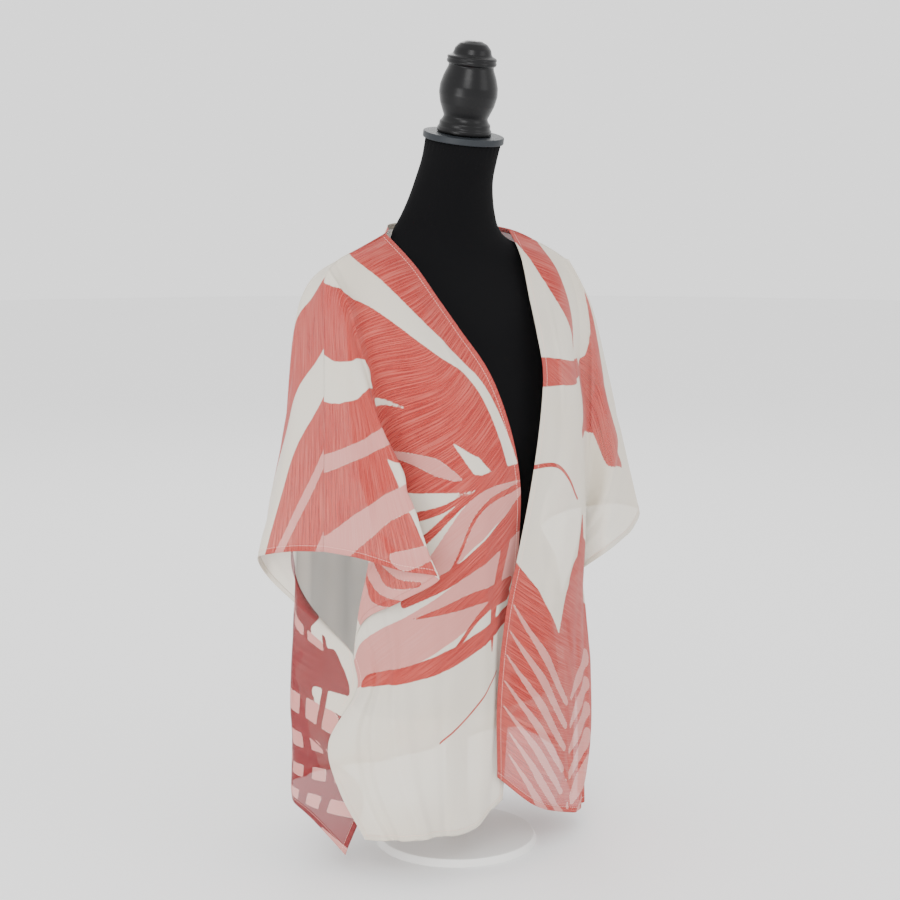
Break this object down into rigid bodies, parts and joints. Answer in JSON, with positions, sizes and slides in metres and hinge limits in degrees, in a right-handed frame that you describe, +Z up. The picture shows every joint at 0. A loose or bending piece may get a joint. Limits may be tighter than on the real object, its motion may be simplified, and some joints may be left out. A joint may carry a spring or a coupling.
{
  "type": "kimono on dress form",
  "caption": "Open-front kimono cover-up in sheer woven cloth with coral palm leaves, worn by a black limbless dress form with a turned knob.",
  "frame": {"origin": "centre of the base plate's underside", "axes": "+Z up, the front faces -Y, the wearer's left is +X"},
  "size_m": [0.5476, 0.2683, 1.0224],
  "materials": {
    "cloth": "sheer matt cloth, woven coral palm leaves on a cream and pale pink ground",
    "jersey": "matt black knit",
    "cap": "dark satin",
    "knob": "black gloss",
    "stand": "pale satin"
  },
  "bodies": {
    "root": {"front_right": "cloth", "front_left": "cloth", "back": "cloth", "form_torso": "jersey", "neck_cap": "cap", "knob": "knob", "pole": "stand", "base": "stand"}
  },
  "joints": []
}
